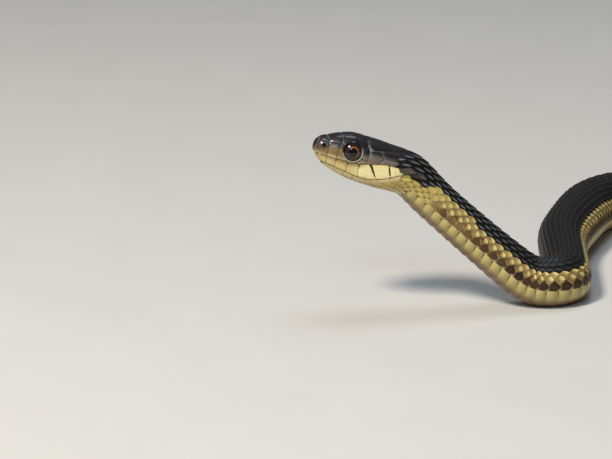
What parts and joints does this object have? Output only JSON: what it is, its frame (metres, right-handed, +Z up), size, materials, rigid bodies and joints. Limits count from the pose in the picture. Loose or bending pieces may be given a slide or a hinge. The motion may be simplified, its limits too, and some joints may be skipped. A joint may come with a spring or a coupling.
{
  "type": "garter snake",
  "caption": "Life-size still model of a common garter snake, mouth closed, head and neck raised, body lying in loose bends, with plated head, keeled back scales and overlapping belly scutes.",
  "frame": {"origin": "centre of the model's footprint, on the floor that it lies on", "axes": "+Z up; +X from the head's side towards the tail's side, so the snout points roughly along -X"},
  "size_m": [0.2292, 0.1372, 0.0345],
  "materials": {
    "head_plates": "smooth dry shields with a low sheen",
    "jaw_skin": "smooth dry shields with a low sheen",
    "scaled_skin": "dry keeled scales on the back, smooth scutes below",
    "eye": "polished"
  },
  "bodies": {
    "root": {"head": "head_plates", "lower_jaw": "jaw_skin", "eye_left": "eye", "eye_right": "eye", "neck": "scaled_skin", "body_1": "scaled_skin", "body_2": "scaled_skin", "body_3": "scaled_skin", "body_4": "scaled_skin", "body_5": "scaled_skin", "body_6": "scaled_skin", "tail_base": "scaled_skin", "tail_tip": "scaled_skin"}
  },
  "joints": []
}
